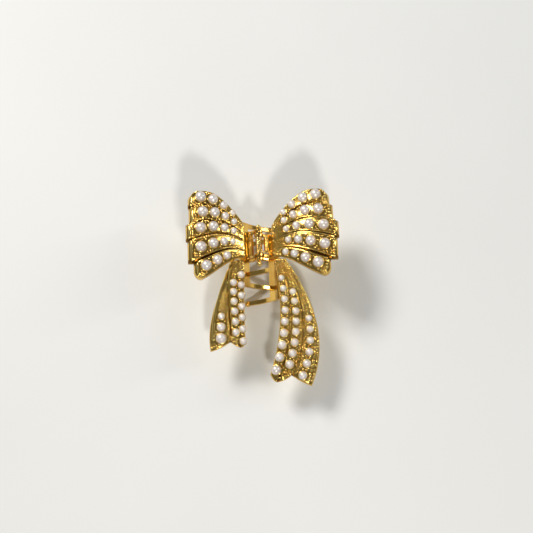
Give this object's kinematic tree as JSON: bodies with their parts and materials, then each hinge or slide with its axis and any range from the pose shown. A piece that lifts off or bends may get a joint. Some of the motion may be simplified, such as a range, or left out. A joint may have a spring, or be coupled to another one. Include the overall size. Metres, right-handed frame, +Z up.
{
  "type": "bow hair claw clip",
  "caption": "Spring-loaded bow-shaped hair claw: two gold claw halves on a hinge pin, each with a pleated bow loop as its lever and a ribbon tail set with round pearls.",
  "frame": {"origin": "middle of the footprint, on the surface that the claw tips stand on", "axes": "+Z up from the claw tips to the bow, +Y along the hinge pin towards the top of the bow, +X to the right loop"},
  "size_m": [0.0588, 0.0753, 0.0305],
  "materials": {
    "polished_gold": "mirror-polished gold plate",
    "bow_gold": "bright gold plate, beaded and ribbed",
    "pin_gold": "bright gold plate",
    "spring_gold": "gold-coloured spring wire",
    "pearl": "pearlescent, glossy"
  },
  "bodies": {
    "left_half": {"left_claw_frame": "polished_gold", "left_loop": "bow_gold", "left_tail": "bow_gold", "left_loop_pearls_1": "pearl", "left_loop_pearls_2": "pearl", "left_loop_pearls_3": "pearl", "left_loop_pearls_4": "pearl", "left_loop_pearls_5": "pearl", "left_tail_pearls_inner": "pearl", "left_tail_pearls_middle": "pearl", "left_tail_pearls_outer": "pearl", "hinge_pin": "pin_gold", "pin_cap": "pin_gold", "torsion_spring": "spring_gold"},
    "right_half": {"right_claw_frame": "polished_gold", "right_loop": "bow_gold", "right_tail": "bow_gold", "right_loop_pearls_1": "pearl", "right_loop_pearls_2": "pearl", "right_loop_pearls_3": "pearl", "right_loop_pearls_4": "pearl", "right_loop_pearls_5": "pearl", "right_tail_pearls_inner": "pearl", "right_tail_pearls_middle": "pearl", "right_tail_pearls_outer": "pearl"}
  },
  "joints": [
    {"name": "jaw_hinge", "type": "hinge", "parent": "left_half", "child": "right_half", "pos_m": [-0.0015, 0, 0.02095], "axis": [0, -1, 0], "range_deg": [0, 75], "stiffness_Nm_per_rad": 0.08, "springref_deg": -57.3, "deforming": ["torsion_spring"]}
  ]
}
